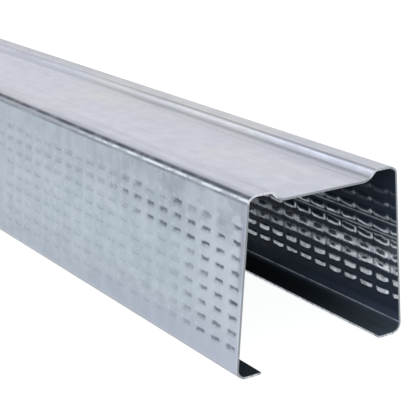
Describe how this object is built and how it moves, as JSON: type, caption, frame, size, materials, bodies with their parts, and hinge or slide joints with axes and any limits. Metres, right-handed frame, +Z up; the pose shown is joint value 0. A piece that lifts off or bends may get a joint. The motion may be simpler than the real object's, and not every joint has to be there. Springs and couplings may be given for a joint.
{
  "type": "drywall metal stud",
  "caption": "C-section stud of thin galvanised sheet with a sunken web, knurled flanges and turned-in lips, the upright of a plasterboard partition frame.",
  "frame": {"origin": "middle of the stud's length and width, on the plane under the lips", "axes": "+X along the stud, Y across the web, +Z up from the lips to the web"},
  "size_m": [2.4, 0.0558, 0.0491],
  "materials": {
    "galvanised_sheet": "hot-dip galvanised, satin with a soft mottle"
  },
  "bodies": {
    "root": {"stud": "galvanised_sheet"}
  },
  "joints": []
}
